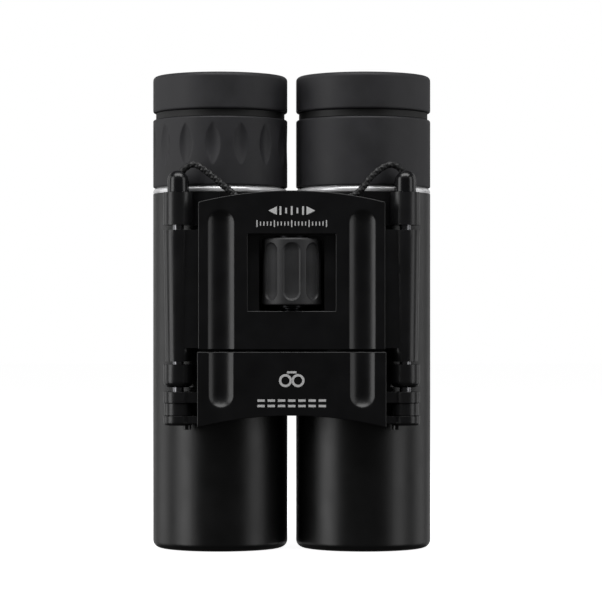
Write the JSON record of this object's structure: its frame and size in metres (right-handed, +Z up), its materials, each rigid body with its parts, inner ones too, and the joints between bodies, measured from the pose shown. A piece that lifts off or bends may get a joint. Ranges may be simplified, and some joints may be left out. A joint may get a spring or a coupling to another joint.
{
  "type": "folding compact binoculars",
  "caption": "Folding compact roof-prism binoculars with double hinges, a central focus wheel, a dioptre ring, pull-up eyecups and a neck cord.",
  "frame": {"origin": "on the surface that the objective rims stand on, at the middle of the object's width and depth, measured without the neck cord", "axes": "+Z up along the barrels from the objectives to the eyecups; -Y out of the covers and the focus wheel; +X across, towards the right barrel as seen from the cover side"},
  "size_m": [0.0662, 0.0673, 0.1121],
  "materials": {
    "cover_plastic": "satin black moulded plastic",
    "frame_plastic": "matt black glass-filled plastic",
    "barrel_coat": "satin black coat over plastic tube",
    "bracket_coat": "satin black",
    "grip_rubber": "matt dark grey rubber",
    "wheel_rubber": "matt dark grey fluted rubber",
    "trim_chrome": "polished",
    "pin_steel": "ground steel",
    "cap_coat": "black, half gloss",
    "bearing_brass": "turned brass",
    "cell_black": "matt black, against stray light",
    "retainer_black": "black anodised",
    "prism_glass": "polished optical glass",
    "lens_glass": "polished glass, blue coating",
    "objective_glass": "polished glass, purple coating",
    "cord_braid": "round braided nylon",
    "tie_band": "woven band"
  },
  "bodies": {
    "bridge": {"bridge_cover": "cover_plastic", "bridge_frame": "frame_plastic", "cover_screws": "pin_steel", "focus_bush": "bearing_brass", "thrust_washer": "pin_steel", "left_hinge_pin": "pin_steel", "right_hinge_pin": "pin_steel", "left_strap_cap": "cap_coat", "right_strap_cap": "cap_coat", "left_cord": "cord_braid", "right_cord": "cord_braid", "cord_coil": "cord_braid", "coil_tie": "tie_band"},
    "focus_drive": {"focus_wheel": "wheel_rubber", "wheel_hub": "frame_plastic", "focus_screw": "pin_steel"},
    "lower_bridge": {"low_cover": "cover_plastic", "low_frame": "frame_plastic", "low_screws": "pin_steel", "focus_nut": "bearing_brass"},
    "dioptre": {"dioptre_ring": "grip_rubber"},
    "left_ocular": {"left_ocular_cell": "cell_black", "left_field_lens": "lens_glass", "left_eye_lens": "lens_glass"},
    "left_barrel": {"left_barrel_tube": "barrel_coat", "left_hinge_bracket": "bracket_coat", "left_trim_ring": "trim_chrome", "left_prism_cage": "cell_black", "left_lower_prism": "prism_glass", "left_roof_prism": "prism_glass", "left_ocular_body": "cell_black"},
    "left_objective": {"left_objective_cell": "cell_black", "left_objective_lens": "objective_glass", "left_objective_retainer": "retainer_black", "left_focus_arm": "bracket_coat"},
    "left_cup": {"left_eyecup": "grip_rubber", "left_eyecup_sleeve": "cell_black"},
    "right_barrel": {"right_barrel_tube": "barrel_coat", "right_hinge_bracket": "bracket_coat", "right_trim_ring": "trim_chrome", "right_prism_cage": "cell_black", "right_lower_prism": "prism_glass", "right_roof_prism": "prism_glass", "right_ocular_body": "cell_black", "eyepiece_ring": "grip_rubber", "right_ocular_cell": "cell_black", "right_field_lens": "lens_glass", "right_eye_lens": "lens_glass"},
    "right_objective": {"right_objective_cell": "cell_black", "right_objective_lens": "objective_glass", "right_objective_retainer": "retainer_black", "right_focus_arm": "bracket_coat"},
    "right_cup": {"right_eyecup": "grip_rubber", "right_eyecup_sleeve": "cell_black"}
  },
  "joints": [
    {"name": "focus_turn", "type": "hinge", "parent": "bridge", "child": "focus_drive", "pos_m": [0, -0.01288, 0.065], "axis": [0, 0, 1], "range_deg": [0, 450]},
    {"name": "lower_bridge_slide", "type": "slide", "parent": "bridge", "child": "lower_bridge", "axis": [0, 0, 1], "range_m": [-0.004, 0]},
    {"name": "left_fold", "type": "hinge", "parent": "bridge", "child": "left_barrel", "pos_m": [-0.02635, -0.01363, 0.06], "axis": [0, 0, 1], "range_deg": [0, 65]},
    {"name": "left_objective_slide", "type": "slide", "parent": "left_barrel", "child": "left_objective", "axis": [0, 0, 1], "range_m": [-0.004, 0]},
    {"name": "left_eyecup_pull", "type": "slide", "parent": "left_barrel", "child": "left_cup", "axis": [0, 0, 1], "range_m": [0, 0.006]},
    {"name": "right_fold", "type": "hinge", "parent": "bridge", "child": "right_barrel", "pos_m": [0.02635, -0.01363, 0.06], "axis": [0, 0, -1], "range_deg": [0, 65]},
    {"name": "right_objective_slide", "type": "slide", "parent": "right_barrel", "child": "right_objective", "axis": [0, 0, 1], "range_m": [-0.004, 0]},
    {"name": "right_eyecup_pull", "type": "slide", "parent": "right_barrel", "child": "right_cup", "axis": [0, 0, 1], "range_m": [0, 0.006]},
    {"name": "dioptre_turn", "type": "hinge", "parent": "left_barrel", "child": "dioptre", "pos_m": [-0.01705, 0.00363, 0.093], "axis": [0, 0, 1], "range_deg": [-40, 40]},
    {"name": "dioptre_focus", "type": "slide", "parent": "left_barrel", "child": "left_ocular", "axis": [0, 0, 1], "range_m": [-0.00118, 0.00118]}
  ],
  "couplings": [
    {"joint": "focus_turn", "follows": "lower_bridge_slide", "rad_per_m": -1963.5},
    {"joint": "left_objective_slide", "follows": "lower_bridge_slide", "ratio": 1},
    {"joint": "right_objective_slide", "follows": "lower_bridge_slide", "ratio": 1},
    {"joint": "dioptre_turn", "follows": "dioptre_focus", "rad_per_m": 588.24}
  ]
}
